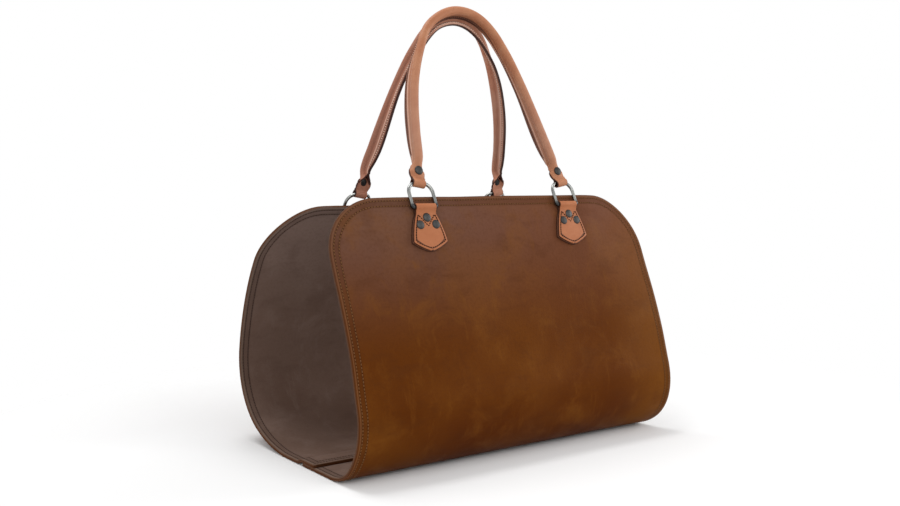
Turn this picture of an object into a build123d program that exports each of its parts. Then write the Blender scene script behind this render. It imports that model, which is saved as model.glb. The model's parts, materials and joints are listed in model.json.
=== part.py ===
from build123d import *
from math import acos, asin, atan, atan2, cos, degrees, hypot, radians, sin, sqrt, tan
import os

# Leather log carrier: two lined leather sheets lapped at the base, each with two riveted tabs,
# two D-rings and one rolled handle.
# X runs along the logs, -Y is the front, +Z is up. The origin is under the middle, on the ground.

# Sheets: the front one lies on the ground, the back one laps over it and comes down behind its edge
sheet_length = 524.0
shell_leather = 2.8
lining_leather = 1.6
corner_radius = 84.0

front_flat = 73.0
front_bend = 79.0
front_lean = 18.3
front_wall = 255.5

lap = 31.0
lap_clearance = 1.0
drop_radius = 16.0
back_flat = 45.0
sag_radius = 200.0
sag_angle = 27.0
back_bend = 100.0
back_low_lean = 10.0
belly_radius = 378.0
belly_angle = 22.0
back_top = 82.0

# Tabs: a strap folded over the bar of the ring, cut to a shield
strap = 2.2
leaf_gap = 0.2
tab_drop = 10.5
tab_height = 62.0
tab_width = 31.5
tab_neck = 13.5
shield_width = 52.0
shield_side = 50.5
shield_bulge = 1.6
shield_swell = 1.2
fold_turn = 6.0
tab_rivet_top = 18.6
tab_rivet_row = 9.3
tab_rivet_spread = 24.0

# D-rings of round wire
wire = 4.6
ring_inside = 32.0
ring_height = 33.5
bar_corner = 2.8
bow_corner = 14.0
bar_clearance = 0.1
bow_clearance = 0.25
edge_clearance = 0.3
ring_spacing = 242.0

# Handles: leather rolled round a cord, with the sewn flange of the roll facing the other handle
front_handle_lean = 17.3
handle_height = 249.0
apex_radius = 56.0
leg_lean = 10.5
core_diameter = 7.2
flange = 7.6
roll_start = 40.0
neck_width = 20.0
shoulder_width = 24.5
shoulder_height = 17.0
neck_top = 27.0
neck_turn = 6.0
handle_gap = 0.6

# Rivets, alike everywhere: a domed cap with its post, and the flat cap pressed onto the post's end
cap_diameter = 12.0
cap_height = 1.8
cap_top_share = 0.55
post_diameter = 3.2
back_cap_diameter = 10.0
back_cap_thickness = 1.2
post_clearance = 0.1

# How far a cutting or joining shape runs past what it cuts or joins
overrun = 2.0

# Wires, rolls and posts are drawn with flats, which keeps the mesh of the whole part light
wire_sides = 12
roll_sides = 16
post_sides = 8

# Worked out from the sizes above
sheet = shell_leather + lining_leather
leaves = 2 * strap + leaf_gap
drop_angle = degrees(acos(1 - sheet / (2 * drop_radius)))
front_reach = front_flat + front_bend
back_reach = back_flat + (sag_radius - back_bend) * sin(radians(sag_angle)) + back_bend
front_end = (front_reach - back_reach) / 2
back_lean = back_low_lean + belly_angle
tunnel = wire / 2 + bar_clearance
ring_half = (ring_inside + wire) / 2
bow_flat = 2 * (ring_half - bow_corner)
bow_sag = bow_corner - sqrt(bow_corner**2 - ((neck_width - bow_flat) / 2) ** 2)
bow_tunnel = wire / 2 + bow_sag / 2 + bow_clearance
bow_reach = ring_height - bow_sag / 2
roll_diameter = core_diameter + 2 * strap
flange_reach = roll_diameter / 2 + flange


def front_curve(depth):
    """Draw the front sheet's face that lies depth inside its outer face; return its two ends."""
    base = Line((front_end, depth), (front_end - front_flat, depth))
    bend = JernArc(base @ 1, base % 1, front_bend - depth, -(90 + front_lean))
    wall = Line(bend @ 1, bend @ 1 + (bend % 1) * front_wall)
    return base @ 0, wall @ 1


def back_curve(depth):
    """Draw the back sheet's face that lies depth inside its outer face; return its two ends."""
    lapped = Line((front_end - lap, sheet + depth), (front_end + lap_clearance, sheet + depth))
    drop = JernArc(lapped @ 1, lapped % 1, drop_radius + depth, -drop_angle)
    landing = JernArc(drop @ 1, drop % 1, drop_radius - depth, drop_angle)
    base = Line(landing @ 1, (front_end + back_flat, depth))
    sag = JernArc(base @ 1, base % 1, sag_radius - depth, sag_angle)
    bend = JernArc(sag @ 1, sag % 1, back_bend - depth, 90 + back_low_lean - sag_angle)
    belly = JernArc(bend @ 1, bend % 1, belly_radius - depth, belly_angle)
    wall = Line(belly @ 1, belly @ 1 + (belly % 1) * back_top)
    return lapped @ 0, wall @ 1


def closed(curve, near, far):
    """Join two drawings of one curve, at two depths, into a closed outline."""
    near_start, near_end = curve(near)
    far_start, far_end = curve(far)
    Line(near_start, far_start)
    Line(near_end, far_end)


def wall_plane(curve, lean, side):
    """Plane of a wall's outer face: origin at its top edge, local Y up the wall, local Z outward."""
    with BuildLine(Plane.YZ, mode=Mode.PRIVATE):
        top = curve(0)[1]
    outward = (0, side * cos(radians(lean)), sin(radians(lean)))
    return Plane(origin=(0, top.Y, top.Z), x_dir=(-side, 0, 0), z_dir=outward)


def shifted(plane, x=0.0, y=0.0, z=0.0):
    """The same plane, moved by local distances."""
    return Plane(origin=plane.from_local_coords((x, y, z)), x_dir=plane.x_dir, z_dir=plane.z_dir)


def side_on(plane):
    """The plane square to this one at its origin: local X along its normal, local Y kept."""
    return Plane(origin=plane.origin, x_dir=plane.z_dir, z_dir=-plane.x_dir)


def tilted(plane, inward):
    """This plane turned about its X axis, so that its local Y leans inward by that many degrees."""
    up = plane.y_dir * cos(radians(inward)) - plane.z_dir * sin(radians(inward))
    return Plane(origin=plane.origin, x_dir=plane.x_dir, z_dir=plane.x_dir.cross(up))


def tab_curve(depth):
    """Draw the tab's folded strap from its inner leaf, over the bar and down its outer leaf."""
    turn = degrees(acos(1 - (2 * tunnel - leaf_gap) / (tunnel + fold_turn)))
    inner = Line((strap - depth, -tab_height), (strap - depth, -strap - tunnel))
    over = JernArc(inner @ 1, inner % 1, tunnel + depth, -(180 + turn))
    back = JernArc(over @ 1, over % 1, fold_turn - depth, turn)
    outer = Line(back @ 1, ((back @ 1).X, -tab_height))
    return inner @ 0, outer @ 1


def neck_curve(depth):
    """Draw the neck's strap from its outer leaf, under the bow of the ring and up its tail."""
    turn = degrees(acos(1 - (bow_tunnel - leaf_gap / 2) / (bow_tunnel + neck_turn)))
    rise = (bow_tunnel + neck_turn) * sin(radians(turn))
    outer = Line((leaf_gap / 2 + depth, neck_top), (leaf_gap / 2 + depth, rise))
    away = JernArc(outer @ 1, outer % 1, neck_turn - depth, turn)
    under = JernArc(away @ 1, away % 1, bow_tunnel + depth, -(180 + 2 * turn))
    again = JernArc(under @ 1, under % 1, neck_turn - depth, turn)
    tail = Line(again @ 1, ((again @ 1).X, neck_top))
    return outer @ 0, tail @ 1


def rivet_places():
    """The three rivets of a tab, in the plane of the tab: one at the top, two in a row below."""
    row = -(tab_rivet_top + tab_rivet_row)
    return [(0, -tab_rivet_top), (-tab_rivet_spread / 2, row), (tab_rivet_spread / 2, row)]


# The planes that everything else is placed by, for the front (-1) and the back (+1)
walls = {
    "front": wall_plane(front_curve, front_lean, -1),
    "back": wall_plane(back_curve, back_lean, 1),
}
sides = {"front": -1, "back": 1}
panel_curves = {"front": front_curve, "back": back_curve}

# A ring leans inward until its wire lies against the top edge of the sheet
bar_outward = strap + tunnel
bar_below_edge = tab_drop + strap + tunnel
edge_distance = hypot(bar_outward, bar_below_edge)
edge_bearing = atan2(bar_below_edge, bar_outward)
ring_lean = degrees(acos((wire / 2 + edge_clearance) / edge_distance) - edge_bearing)

bars = {}
ring_planes = {}
bow_planes = {}
for name, wall in walls.items():
    bars[name] = shifted(wall, y=-bar_below_edge, z=bar_outward)
    ring_planes[name] = tilted(bars[name], ring_lean)
    bow_planes[name] = shifted(ring_planes[name], y=bow_reach)

# The handles lean together until the edges of their flanges meet
front_bow = bow_planes["front"].origin
back_bow = bow_planes["back"].origin
front_angle = radians(front_handle_lean)
flange_edge_y = (
    front_bow.Y
    + (handle_height + strap) * sin(front_angle)
    + flange_reach * cos(front_angle)
)
lean_room = back_bow.Y - flange_edge_y - handle_gap
handle_swing = hypot(handle_height + strap, flange_reach)
back_handle_lean = degrees(asin(lean_room / handle_swing) - atan(flange_reach / (handle_height + strap)))
handle_leans = {"front": front_handle_lean, "back": back_handle_lean}
handle_planes = {}
for name, bow in bow_planes.items():
    upright = Plane(origin=bow.origin, x_dir=bow.x_dir, z_dir=(0, sides[name], 0))
    handle_planes[name] = tilted(upright, handle_leans[name])

# The legs of a handle start off leaning together and bend in evenly until they meet its top arc
lean_cosine = cos(radians(leg_lean))
lean_sine = sin(radians(leg_lean))
roll_across = ring_spacing / 2 - (roll_start - bow_tunnel) * tan(radians(leg_lean))
roll_rise = handle_height - apex_radius - roll_start
leg_facing = roll_across * lean_cosine - roll_rise * lean_sine - apex_radius
leg_radius = (roll_across**2 + roll_rise**2 - apex_radius**2) / (2 * leg_facing)
top_lean = degrees(asin((roll_rise + leg_radius * lean_sine) / (leg_radius - apex_radius)))


def sheet_layer(name, near, far):
    """One leather layer of a sheet, between two depths, with rounded top corners and rivet holes."""
    with BuildPart() as layer:
        with BuildSketch(Plane.YZ):
            with BuildLine():
                closed(panel_curves[name], near, far)
            make_face()
        extrude(amount=sheet_length / 2, both=True)
        top = layer.faces().sort_by(Axis.Z)[-1]
        fillet(top.edges().sort_by(SortBy.LENGTH)[:2], radius=corner_radius)
        for x in (-ring_spacing / 2, ring_spacing / 2):
            with BuildSketch(shifted(walls[name], x=x, y=-tab_drop, z=overrun)):
                with Locations(*rivet_places()):
                    RegularPolygon(post_diameter / 2 + post_clearance, post_sides, major_radius=False)
            extrude(amount=-(sheet + 2 * overrun), mode=Mode.SUBTRACT)
    return layer.part


def tab(plane):
    """A strap folded over the bar of the ring and cut to a shield with a blunt point."""
    with BuildPart() as folded:
        with BuildSketch(side_on(plane)):
            with BuildLine():
                closed(tab_curve, 0, strap)
            make_face()
        extrude(amount=shield_width / 2 + overrun, both=True)
        with BuildSketch(shifted(plane, z=-overrun)):
            with BuildLine():
                Line((0, overrun), (tab_width / 2, overrun))
                Line((tab_width / 2, overrun), (tab_width / 2, -tab_neck))
                SagittaArc((tab_width / 2, -tab_neck), (shield_width / 2, -shield_side), -shield_swell)
                SagittaArc((shield_width / 2, -shield_side), (0, -tab_height), -shield_bulge)
                mirror(about=Plane.YZ)
            make_face()
        extrude(amount=bar_outward + tunnel + strap + 2 * overrun, mode=Mode.INTERSECT)
        with BuildSketch(shifted(plane, z=-overrun)):
            with Locations(*rivet_places()):
                RegularPolygon(post_diameter / 2 + post_clearance, post_sides, major_radius=False)
        extrude(amount=leaves + 2 * overrun, mode=Mode.SUBTRACT)
    return folded.part


def rings(plane):
    """The pair of D-rings of a sheet: each a straight bar, two short legs and a bow, flat at its top."""
    with BuildPart() as pair:
        for x in (-ring_spacing / 2, ring_spacing / 2):
            here = shifted(plane, x=x)
            with BuildLine(here) as route:
                bar = Line((0, 0), (ring_half - bar_corner, 0))
                JernArc(bar @ 1, (1, 0), bar_corner, 90)
                Line((ring_half, bar_corner), (ring_half, ring_height - bow_corner))
                JernArc((ring_half, ring_height - bow_corner), (0, 1), bow_corner, 90)
                Line((ring_half - bow_corner, ring_height), (0, ring_height))
                mirror(about=Plane(origin=here.origin, x_dir=here.y_dir, z_dir=here.x_dir))
            with BuildSketch(Plane(origin=here.origin, x_dir=here.z_dir, z_dir=here.x_dir)):
                RegularPolygon(wire / 2, wire_sides, major_radius=False)
            sweep(path=route.line)
    return pair.part


def leg_across(height):
    """How far a leg of a handle is from the handle's middle, at a height below the roll's start."""
    return ring_spacing / 2 - (height - bow_tunnel) * tan(radians(leg_lean))


def handle_route(plane):
    """The middle line of a roll, from the end of one leg, over the top and down the other."""
    with BuildLine(plane) as route:
        near = JernArc((roll_across, roll_start), (-lean_sine, lean_cosine), leg_radius, top_lean - leg_lean)
        top = JernArc(near @ 1, near % 1, apex_radius, 180 - 2 * top_lean)
        JernArc(top @ 1, top % 1, leg_radius, top_lean - leg_lean)
    return route.line


def roll_section(plane, side):
    """The plane square to a roll at the end of one leg, on the local X side given, facing its top."""
    along = plane.y_dir * lean_cosine - plane.x_dir * (side * lean_sine)
    origin = plane.from_local_coords((side * roll_across, roll_start, 0))
    return Plane(origin=origin, x_dir=plane.z_dir, z_dir=along)


def neck(plane, side):
    """One end of a handle's leather: a neck that loops under the bow of the ring, opening into the roll."""
    foot = side * ring_spacing / 2
    middle = side * leg_across(shoulder_height)
    top = side * leg_across(neck_top + overrun)
    with BuildPart() as end:
        with BuildSketch(side_on(shifted(plane, x=foot))):
            with BuildLine():
                closed(neck_curve, 0, strap)
            make_face()
        extrude(amount=shoulder_width, both=True)
        reach = bow_tunnel + strap + overrun
        with BuildSketch(shifted(plane, z=-reach)):
            with BuildLine():
                Polyline(
                    (foot - neck_width / 2, bow_tunnel),
                    (foot - neck_width / 2, -reach),
                    (foot + neck_width / 2, -reach),
                    (foot + neck_width / 2, bow_tunnel),
                    (middle + shoulder_width / 2, shoulder_height),
                    (top + shoulder_width / 2, neck_top + overrun),
                    (top - shoulder_width / 2, neck_top + overrun),
                    (middle - shoulder_width / 2, shoulder_height),
                    close=True,
                )
            make_face()
        extrude(amount=2 * reach, mode=Mode.INTERSECT)
        with BuildSketch(shifted(plane, x=middle, y=shoulder_height, z=-reach)):
            RegularPolygon(post_diameter / 2 + post_clearance, post_sides, major_radius=False)
        extrude(amount=2 * reach, mode=Mode.SUBTRACT)
        flat = plane.from_local_coords((side * leg_across(neck_top), neck_top, (leaf_gap + strap) / 2))
        with BuildSketch(Plane(origin=flat, x_dir=plane.z_dir, z_dir=plane.y_dir)):
            Rectangle(strap, shoulder_width)
        with BuildSketch(roll_section(plane, side)):
            RegularPolygon(roll_diameter / 2, roll_sides, major_radius=False)
        loft(ruled=True)
    return end.part


def handle_cover(plane):
    """A handle's leather: the roll with its sewn flange, and a neck at each end."""
    with BuildPart() as cover:
        with BuildSketch(roll_section(plane, 1)):
            RegularPolygon(roll_diameter / 2, roll_sides, major_radius=False)
            with Locations((-flange_reach / 2, 0)):
                Rectangle(flange_reach, 2 * strap)
            RegularPolygon(core_diameter / 2, roll_sides, major_radius=False, mode=Mode.SUBTRACT)
        sweep(path=handle_route(plane))
        add([neck(plane, side) for side in (-1, 1)])
    return cover.part


def handle_core(plane):
    """The cord that the roll is wrapped round."""
    with BuildPart() as cord:
        with BuildSketch(roll_section(plane, 1)):
            RegularPolygon(core_diameter / 2, roll_sides, major_radius=False)
        sweep(path=handle_route(plane))
    return cord.part


def caps(planes, grip):
    """Rivet caps with sloping sides, each with its post, seated on the origin of its plane."""
    with BuildPart() as group:
        for plane in planes:
            with BuildSketch(plane):
                Circle(cap_diameter / 2)
            with BuildSketch(shifted(plane, z=cap_height)):
                Circle(cap_top_share * cap_diameter / 2)
            loft(ruled=True)
            with BuildSketch(plane):
                RegularPolygon(post_diameter / 2, post_sides, major_radius=False)
            extrude(amount=-grip)
    return group.part


def back_caps(planes, grip):
    """The flat caps that close the posts, on the far side of what each rivet grips."""
    with BuildPart() as group:
        for plane in planes:
            with BuildSketch(shifted(plane, z=-grip)):
                Circle(back_cap_diameter / 2)
            extrude(amount=-back_cap_thickness)
    return group.part


def write(piece, name):
    """Label a finished piece and write it to its own file."""
    piece.label = name
    export_step(piece, f"parts/{name}.step")


os.makedirs("parts", exist_ok=True)

for name, wall in walls.items():
    write(sheet_layer(name, 0, shell_leather), f"{name}_panel_shell")
    write(sheet_layer(name, shell_leather, sheet), f"{name}_panel_lining")

    # Local X of a back plane runs the other way, so the side of the object comes from the wall's X
    rivet_planes = []
    for x in (-ring_spacing / 2, ring_spacing / 2):
        hand = "left" if x * wall.x_dir.X < 0 else "right"
        tab_plane = shifted(wall, x=x, y=-tab_drop)
        write(tab(tab_plane), f"{name}_{hand}_tab")
        rivet_planes += [shifted(tab_plane, x=place[0], y=place[1], z=leaves) for place in rivet_places()]
    write(caps(rivet_planes, leaves + sheet), f"{name}_tab_rivet_caps")
    write(back_caps(rivet_planes, leaves + sheet), f"{name}_tab_rivet_backs")
    write(rings(ring_planes[name]), f"{name}_rings")

    plane = handle_planes[name]
    write(handle_cover(plane), f"{name}_handle_cover")
    write(handle_core(plane), f"{name}_handle_core")
    end_places = (-leg_across(shoulder_height), leg_across(shoulder_height))
    end_planes = [shifted(plane, x=x, y=shoulder_height, z=leaves / 2) for x in end_places]
    write(caps(end_planes, leaves), f"{name}_handle_rivet_caps")
    write(back_caps(end_planes, leaves), f"{name}_handle_rivet_backs")
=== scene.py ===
# %% [markdown]
# # A leather log carrier
#
# Two lined sheets of oiled leather lap at the base and stand up round the load. Each has two tan
# tabs riveted near its top edge, two nickel D-rings, and one handle that is rolled round a cord.
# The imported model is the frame: it says where each piece is and what it moves with. This file
# gives every piece its finished shape and its material, in metres.

import json
import math

import bpy
import numpy as np
from mathutils import Matrix, Vector


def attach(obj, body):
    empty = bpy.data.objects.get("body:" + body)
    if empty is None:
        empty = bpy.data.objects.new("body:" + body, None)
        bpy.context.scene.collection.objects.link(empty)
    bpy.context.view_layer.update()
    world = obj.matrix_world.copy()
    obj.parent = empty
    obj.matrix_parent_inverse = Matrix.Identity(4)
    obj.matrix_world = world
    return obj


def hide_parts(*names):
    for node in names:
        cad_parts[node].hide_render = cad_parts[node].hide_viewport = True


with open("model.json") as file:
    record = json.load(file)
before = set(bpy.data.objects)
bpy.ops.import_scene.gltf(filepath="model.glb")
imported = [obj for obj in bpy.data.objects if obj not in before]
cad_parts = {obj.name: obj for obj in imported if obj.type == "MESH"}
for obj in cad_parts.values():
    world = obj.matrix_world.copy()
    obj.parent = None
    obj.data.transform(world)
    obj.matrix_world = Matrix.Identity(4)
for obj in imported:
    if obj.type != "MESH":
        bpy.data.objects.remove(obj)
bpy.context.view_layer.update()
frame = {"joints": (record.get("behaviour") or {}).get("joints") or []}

# %% [markdown]
# ## Node trees as expressions
#
# Materials and Geometry Nodes are both trees of nodes joined by wires. A small class wraps one
# socket, so that each operator on it adds its Math node. Every other node comes from one method.

# %% The two helpers for trees


class Wire:
    """One output socket, with operators that add Math nodes to its tree."""

    def __init__(self, tree, socket):
        self.tree, self.socket = tree, socket

    def math(self, operation, *others):
        return self.tree.add("ShaderNodeMath", {"operation": operation}, dict(enumerate((self, *others))))

    def __add__(self, other):
        return self.math("ADD", other)

    __radd__ = __add__

    def __mul__(self, other):
        return self.math("MULTIPLY", other)

    __rmul__ = __mul__

    def __sub__(self, other):
        return self.math("SUBTRACT", other)

    def __rsub__(self, other):
        return self.tree.add("ShaderNodeMath", {"operation": "SUBTRACT"}, {0: other, 1: self})

    def size(self):
        return self.math("ABSOLUTE")

    def between(self, low, high, to_low=0.0, to_high=1.0):
        """Rises smoothly from to_low to to_high as the value goes from low to high."""
        sockets = {"Value": self, "From Min": low, "From Max": high, "To Min": to_low, "To Max": to_high}
        return self.tree.add("ShaderNodeMapRange", {"interpolation_type": "SMOOTHSTEP"}, sockets)

    def near(self, place, reach):
        """1 where the value is at place, falling to 0 at reach from it."""
        return (self - place).size().between(0.0, reach, 1.0, 0.0)


class Tree:
    """Adds nodes to one tree, each from its type, its settings and the values of its sockets."""

    def __init__(self, tree):
        self.tree = tree

    def add(self, kind, settings=None, sockets=None, output=0):
        node = self.tree.nodes.new(kind)
        for name, value in (settings or {}).items():
            setattr(node, name, value)
        for name, value in (sockets or {}).items():
            socket = node.inputs[name]
            if isinstance(value, Wire):
                self.tree.links.new(value.socket, socket)
            else:
                socket.default_value = value
        return Wire(self, node.outputs[output]) if len(node.outputs) else node

    def blend(self, share, low, high):
        """A colour between two others. Sockets 6 and 7 of a Mix node are its colours."""
        low, high = (paint(colour) if isinstance(colour, str) else colour for colour in (low, high))
        return self.add("ShaderNodeMix", {"data_type": "RGBA"}, {0: share, 6: low, 7: high}, output=2)

    def coats(self, colour, *coats):
        """A colour under further coats, each a share and a colour."""
        for share, coat in coats:
            colour = self.blend(share, colour, coat)
        return colour


def paint(code):
    """A colour as it is seen, such as 6b4636, in the linear values that Blender works in."""
    seen = [int(code[i:i + 2], 16) / 255 for i in (0, 2, 4)]
    return tuple(c / 12.92 if c <= 0.04045 else ((c + 0.055) / 1.055) ** 2.4 for c in seen) + (1.0,)


# %% [markdown]
# ## Leather that is cut, bent and bevelled
#
# Every leather piece is a flat cut that was bent along a curve. So each is a grid, with rows along
# the cut and columns across it, that becomes a closed piece with two faces and a rounded edge.
# The cut's own measures, in metres, are its UV map: grain, seams and wear follow the leather.

# %% Curves made of straight runs and arcs


class Course:
    """A flat curve that starts at a point with a heading. Its runs go straight for a length, or
    turn by a radius and degrees."""

    def __init__(self, start, heading, *runs):
        self.start, self.heading, self.runs = np.array(start, float), math.radians(heading), runs
        self.lengths = [run[0] if len(run) == 1 else run[0] * math.radians(abs(run[1])) for run in runs]
        self.length = sum(self.lengths)

    def at(self, distance):
        """The point and the heading at a distance along the curve. The last run goes on for ever."""
        point, heading, left = self.start.copy(), self.heading, distance
        for run, length in zip(self.runs, [*self.lengths[:-1], math.inf]):
            step = min(left, length)
            if len(run) == 2:
                radius = math.copysign(run[0], run[1])
                point += radius * np.array([-math.sin(heading), math.cos(heading)])
                heading += step / radius
                point -= radius * np.array([-math.sin(heading), math.cos(heading)])
            else:
                point += step * np.array([math.cos(heading), math.sin(heading)])
            left -= step
            if left <= 0:
                break
        return point, heading


def unit(vectors):
    return vectors / np.maximum(np.linalg.norm(vectors, axis=-1, keepdims=True), 1e-12)


def ease(value, low, high):
    """0 below low, 1 above high, and a smooth rise between them."""
    t = np.clip((value - low) / (high - low), 0, 1)
    return t * t * (3 - 2 * t)


def through(value, places, numbers):
    """A smooth curve through the numbers at their places, level at both ends."""
    places, numbers = np.array(places, float), np.array(numbers, float)
    slopes = np.gradient(numbers, places)
    slopes[[0, -1]] = 0
    k = np.clip(np.searchsorted(places, value) - 1, 0, len(places) - 2)
    width = places[k + 1] - places[k]
    t = np.clip((value - places[k]) / width, 0, 1)
    level = numbers[k] + (numbers[k + 1] - numbers[k]) * t * t * (3 - 2 * t)
    return level + width * t * (1 - t) * (slopes[k] * (1 - t) - slopes[k + 1] * t)


# %% Meshes from numbers

RIM_STEPS, RIM_SPREAD = 6, 0.0004


def smooth_mesh(name, points, faces):
    mesh = bpy.data.meshes.new(name)
    mesh.from_pydata(points, [], faces)
    mesh.polygons.foreach_set("use_smooth", [len(face) == 4 for face in faces])
    return mesh


def store(mesh, key, values, kind="FLOAT", field="value"):
    """Keep one value for each point of a mesh, as an attribute."""
    data = mesh.attributes.new(key, kind, "POINT").data
    data.foreach_set(field, np.asarray(values, np.float32).ravel())


def tube_faces(count, around, closed):
    """The faces of a tube of that many rings, closed on itself or with flat ends."""
    index = np.arange(count * around).reshape(count, around)
    rings = np.concatenate([index, index[:1]]) if closed else index
    ahead = np.roll(rings, -1, 1)
    faces = np.stack([rings[:-1], ahead[:-1], ahead[1:], rings[1:]], -1).reshape(-1, 4).tolist()
    return faces if closed else faces + [index[0, ::-1].tolist(), index[-1].tolist()]


def leather_mesh(name, grid, cut, thickness, rim, extra):
    """A closed mesh from a grid of points on the middle of the leather. Rows and columns are such
    that row direction x column direction points to the grain side. cut holds each point's place on
    the flat cut, and extra more numbers for each point, kept as attributes."""
    rows, columns = grid.shape[:2]
    normal = unit(np.cross(np.gradient(grid, axis=0), np.gradient(grid, axis=1)))
    ring = [(0, j) for j in range(columns)] + [(i, columns - 1) for i in range(1, rows)]
    ring += [(rows - 1, j) for j in range(columns - 2, -1, -1)] + [(i, 0) for i in range(rows - 2, 0, -1)]
    at = tuple(np.array(ring).T)
    edge, edge_normal = grid[at], normal[at]
    along = unit(np.roll(edge, -1, 0) - edge) + unit(edge - np.roll(edge, 1, 0))
    outward = unit(np.cross(unit(along), edge_normal))
    inside = grid[np.clip(at[0], 1, rows - 2), np.clip(at[1], 1, columns - 2)]
    outward *= np.sign(((edge - inside) * outward).sum(-1, keepdims=True) + 1e-15)

    half, count = thickness / 2, rows * columns
    points = [(grid + normal * half).reshape(-1, 3), (grid - normal * half).reshape(-1, 3)]
    flat = [cut.reshape(-1, 2)] * 2
    values = {"rim": [np.zeros(count)] * 2, "face": [np.ones(count), -np.ones(count)]}
    for k in range(1, RIM_STEPS):
        turn = math.pi * k / RIM_STEPS
        points.append(edge + edge_normal * half * math.cos(turn) + outward * rim * math.sin(turn))
        flat.append(cut[at] + (k - RIM_STEPS / 2) * RIM_SPREAD)
        values["rim"].append(np.full(len(ring), math.sin(turn)))
        values["face"].append(np.full(len(ring), math.cos(turn)))
    for key, value in extra.items():
        values[key] = [value.ravel()] * 2 + [value[at]] * (RIM_STEPS - 1)

    index = np.arange(count).reshape(rows, columns)
    top = np.stack([index[:-1, :-1], index[1:, :-1], index[1:, 1:], index[:-1, 1:]], -1).reshape(-1, 4)
    faces = [top, top[:, ::-1] + count]
    loops = [2 * count + k * len(ring) + np.arange(len(ring)) for k in range(RIM_STEPS - 1)]
    loops = [index[at], *loops, index[at] + count]
    for a, b in zip(loops[:-1], loops[1:]):
        faces.append(np.stack([a, np.roll(a, -1), np.roll(b, -1), b], -1))
    mesh = smooth_mesh(name, np.concatenate(points).tolist(), np.concatenate(faces).tolist())
    layer = mesh.uv_layers.new(name="cut")
    corner = np.zeros(len(mesh.loops), np.int32)
    mesh.loops.foreach_get("vertex_index", corner)
    layer.data.foreach_set("uv", np.concatenate(flat)[corner].astype(np.float32).ravel())
    for key, value in values.items():
        store(mesh, key, np.concatenate(value))
    return mesh


def place(mesh, name, body, slot, nodes, finish):
    """Link a finished mesh, give it its material and say what it moves with."""
    piece = bpy.data.objects.new(name, mesh)
    bpy.context.scene.collection.objects.link(piece)
    if not mesh.materials:
        mesh.materials.append(finish)
    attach(piece, body)
    if nodes:
        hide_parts(*nodes)
    triangles = sum(len(p.vertices) - 2 for p in mesh.polygons)
    print(f"{name}: {triangles} triangles, rides on {body}")
    return piece


# %% [markdown]
# ## The sizes of the carrier
#
# These are the sizes that the solids were built from, in metres. A sheet's outer face is one
# course seen from its end: the front sheet starts at its base edge and turns up into a straight
# wall, and the back sheet starts on top of it, drops to the ground and leans back round the load.

# %% Sheets, seen from their ends
SHELL, LINING, STRAP = 0.0028, 0.0016, 0.0022
SHEET, LEAVES = SHELL + LINING, 2 * STRAP + 0.0002
HALF_LENGTH, SPACING = 0.262, 0.121
BASE_EDGE, LAP, PAST_LAP = -0.0191995, 0.031, 0.001
BACK_FLAT, DROP_RADIUS = 0.045, 0.016

drop = math.degrees(math.acos(1 - SHEET / (2 * DROP_RADIUS)))
landing = BACK_FLAT - PAST_LAP - 2 * DROP_RADIUS * math.sin(math.radians(drop))
COURSES = {
    "front": Course((BASE_EDGE, 0), 180, (0.073,), (0.079, -108.3), (0.2555,)),
    "back": Course(
        (BASE_EDGE - LAP, SHEET), 0, (LAP + PAST_LAP,), (DROP_RADIUS, -drop), (DROP_RADIUS, drop), (landing,),
        (0.200, 27), (0.100, 73), (0.378, 22), (0.082,),
    ),
}
SIDES = {"front": -1, "back": 1}
CORNERS = {"front": {-1: 0.072, 1: 0.084}, "back": {-1: 0.084, 1: 0.084}}
SEAMS, SEAM_INSET = (0.0050, 0.0120), 0.0034

# Pitch, length and thickness of the stitches
SHEET_STITCH, TAB_STITCH = (0.0042, 0.0033, 0.0014), (0.0034, 0.0028, 0.0015)
HANDLE_STITCH = (0.0034, 0.0021, 0.0015)
for name, course in COURSES.items():
    print(name, "sheet: cut", round(2 * HALF_LENGTH, 3), "by", round(course.length, 4), "m")

# %% [markdown]
# ## How the sheets really stand
#
# The solids are true curves. The real leather curls a little at its free ends, where no tab holds
# it: both sheets lean in further near the top. That is a few millimetres, which fade to nothing
# at the tabs. Slow waves of about a millimetre keep the wide walls from looking like plate.

# %% Curl of the ends, as lengths and millimetres outward, and slow waves
CURL = {
    ("front", 1): ([0.0, 0.15, 0.21, 0.28, 0.33, 0.375, 0.43, 0.478], [0, 2, -1, 1, -1, -5, -8, -9]),
    ("front", -1): ([0.0, 0.10, 0.15, 0.215, 0.28, 0.345, 0.39, 0.478], [0, 0, -4, -4, 1, -1, -5, -6]),
    ("back", 1): ([0.0, 0.10, 0.25, 0.40, 0.526], [0, 0, 1, -3, -7]),
    ("back", -1): ([0.0, 0.10, 0.25, 0.40, 0.526], [0, 0, 2, -3, -9]),
}
WAVE, PHASE = 0.0009, {"front": 0.4, "back": 1.9}
WALL, HELD_BELOW_TOP, HELD_ROUND_TAB = (0.10, 0.17), (0.075, 0.110), (0.028, 0.055)
FREE_END, FREE_WALL = (0.148, HALF_LENGTH), (0.080, 0.150)


def bulge(name, x, along):
    """How far the outer face stands out from its course, in metres."""
    below_top, from_tab = COURSES[name].length - along, abs(abs(x) - SPACING)
    held, phase = (1 - ease(below_top, *HELD_BELOW_TOP)) * (1 - ease(from_tab, *HELD_ROUND_TAB)), PHASE[name]
    wave = math.sin(x * 19 + phase) * math.sin(along * 16 + phase) + 0.6 * math.sin(x * 41 - along * 23 + phase)
    out = WAVE * wave * ease(along, *WALL) * (1 - held)
    for side in (-1, 1):
        free = ease(side * x, *FREE_END) * ease(along, *FREE_WALL)
        out += through(along, *CURL[name, side]) * 0.001 * free
    return float(out)


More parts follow.
